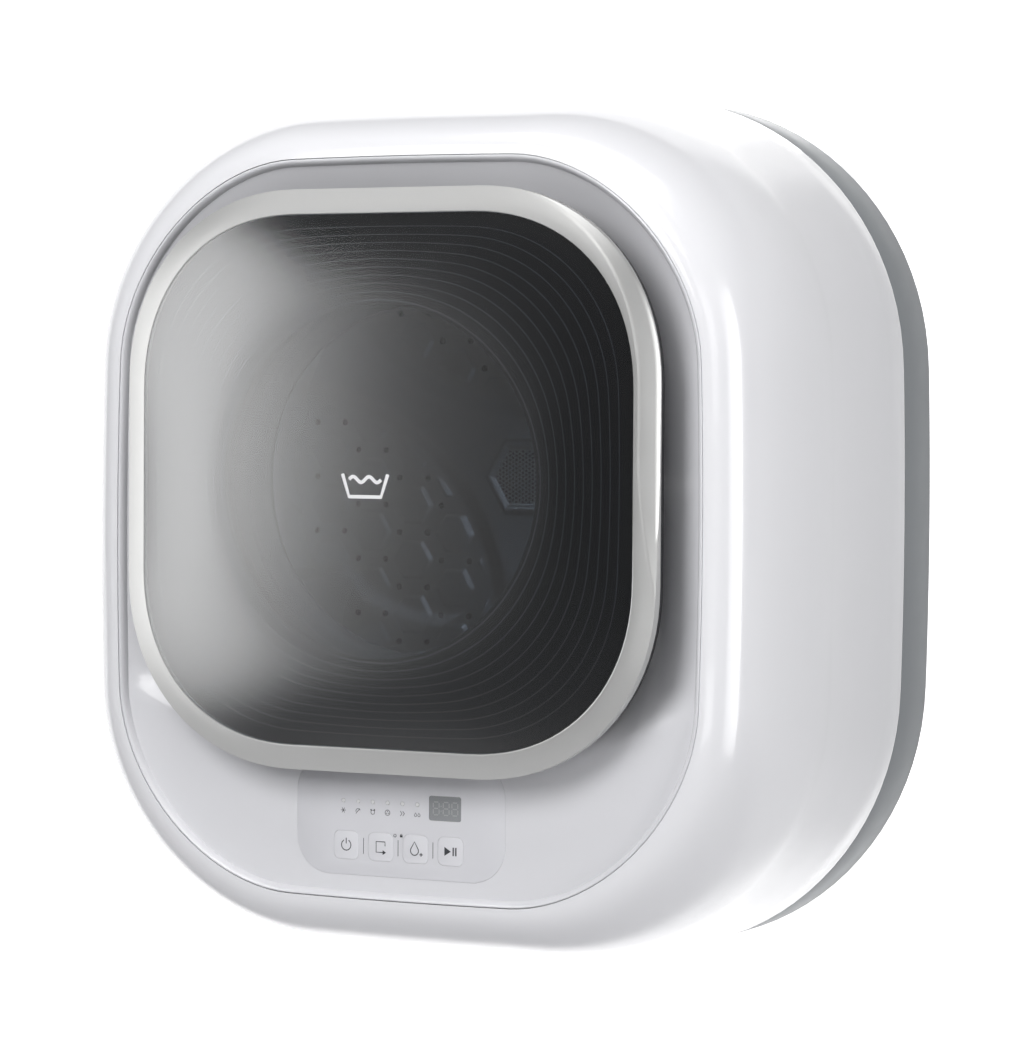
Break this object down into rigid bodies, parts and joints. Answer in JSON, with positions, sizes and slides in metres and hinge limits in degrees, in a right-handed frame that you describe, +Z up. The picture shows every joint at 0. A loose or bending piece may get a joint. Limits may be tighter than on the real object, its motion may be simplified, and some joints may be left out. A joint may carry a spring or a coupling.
{
  "type": "wall-mounted mini drum washing machine",
  "caption": "Compact wall-hung front-loading washer: soft square casing, dished front with a domed round-cornered glass door, push-button strip, hexagon drum.",
  "frame": {"origin": "centre of the casing's back, on the plane of the wall that the machine hangs on", "axes": "+Z up, +Y out of the back into the wall, the door faces -Y, +X to the right as seen from the front"},
  "size_m": [0.55, 0.3044, 0.6],
  "materials": {
    "white_shell": "gloss",
    "white_panel": "gloss",
    "rear_grey": "satin",
    "control_film": "satin",
    "smoked_window": "gloss",
    "light_guide": "gloss",
    "circuit_board": "satin",
    "tub_plastic": "matte",
    "dark_plastic": "satin",
    "grey_rubber": "matte",
    "black_rubber": "matte",
    "drum_steel": "brushed",
    "zinc_steel": "satin",
    "cast_aluminium": "cast",
    "ring_silver": "satin",
    "copper_winding": "satin",
    "door_glass": "tinted gloss",
    "bowl_glass": "clear gloss"
  },
  "bodies": {
    "casing": {"rear_frame": "rear_grey", "front_shell": "white_shell", "front_panel": "white_panel", "control_overlay": "control_film", "display_window": "smoked_window", "led_light_guide": "light_guide", "display_board": "circuit_board", "inlet_valve": "tub_plastic", "inlet_hose": "grey_rubber", "dispenser_cup": "white_panel", "sump_hose": "black_rubber", "drain_pump": "tub_plastic", "drain_hose": "grey_rubber", "pressure_switch": "tub_plastic", "control_box": "tub_plastic", "main_board": "circuit_board", "power_gland": "black_rubber", "hinge_bracket": "zinc_steel", "hinge_pin": "zinc_steel", "door_lock": "dark_plastic", "wall_bush_1": "black_rubber", "wall_bush_2": "black_rubber", "wall_bush_3": "black_rubber", "wall_bush_4": "black_rubber", "case_screw_1": "zinc_steel", "case_screw_2": "zinc_steel", "case_screw_3": "zinc_steel", "case_screw_4": "zinc_steel", "tub_rear": "tub_plastic", "tub_front": "tub_plastic", "tub_mount_1": "black_rubber", "tub_mount_2": "black_rubber", "tub_mount_3": "black_rubber", "tub_mount_4": "black_rubber", "gasket": "grey_rubber", "gasket_clamp": "zinc_steel", "rear_bearing": "zinc_steel", "front_bearing": "zinc_steel", "shaft_seal": "black_rubber", "stator": "copper_winding"},
    "drum": {"drum_shell": "drum_steel", "drum_back": "drum_steel", "drum_spider": "cast_aluminium", "drum_shaft": "zinc_steel", "rotor": "dark_plastic", "rotor_nut": "zinc_steel", "lifter_1": "tub_plastic", "lifter_2": "tub_plastic", "lifter_3": "tub_plastic"},
    "door": {"door_glass": "door_glass", "door_ring": "ring_silver", "door_frame": "dark_plastic", "door_bowl": "bowl_glass"},
    "latch": {"latch_hook": "zinc_steel"},
    "impeller": {"pump_impeller": "tub_plastic"},
    "power_button": {"button_power": "control_film"},
    "course_button": {"button_course": "control_film"},
    "rinse_button": {"button_rinse": "control_film"},
    "start_button": {"button_start": "control_film"}
  },
  "joints": [
    {"name": "door_hinge", "type": "hinge", "parent": "casing", "child": "door", "pos_m": [-0.19, -0.27775, 0.033], "axis": [0, 0, -1], "range_deg": [0, 100]},
    {"name": "drum_spin", "type": "hinge", "parent": "casing", "child": "drum", "pos_m": [0, -0.14, 0.033], "axis": [0, 1, 0], "continuous": true},
    {"name": "latch_release", "type": "hinge", "parent": "door", "child": "latch", "pos_m": [0.164, -0.278, 0.033], "axis": [0, 0, 1], "range_deg": [0, 8], "stiffness_Nm_per_rad": 0.05},
    {"name": "pump_spin", "type": "hinge", "parent": "casing", "child": "impeller", "pos_m": [0.06, -0.18, -0.246], "axis": [0, 1, 0], "continuous": true},
    {"name": "power_press", "type": "slide", "parent": "casing", "child": "power_button", "axis": [0, 1, 0], "range_m": [0, 0.001], "stiffness_N_per_m": 800},
    {"name": "course_press", "type": "slide", "parent": "casing", "child": "course_button", "axis": [0, 1, 0], "range_m": [0, 0.001], "stiffness_N_per_m": 800},
    {"name": "rinse_press", "type": "slide", "parent": "casing", "child": "rinse_button", "axis": [0, 1, 0], "range_m": [0, 0.001], "stiffness_N_per_m": 800},
    {"name": "start_press", "type": "slide", "parent": "casing", "child": "start_button", "axis": [0, 1, 0], "range_m": [0, 0.001], "stiffness_N_per_m": 800}
  ]
}
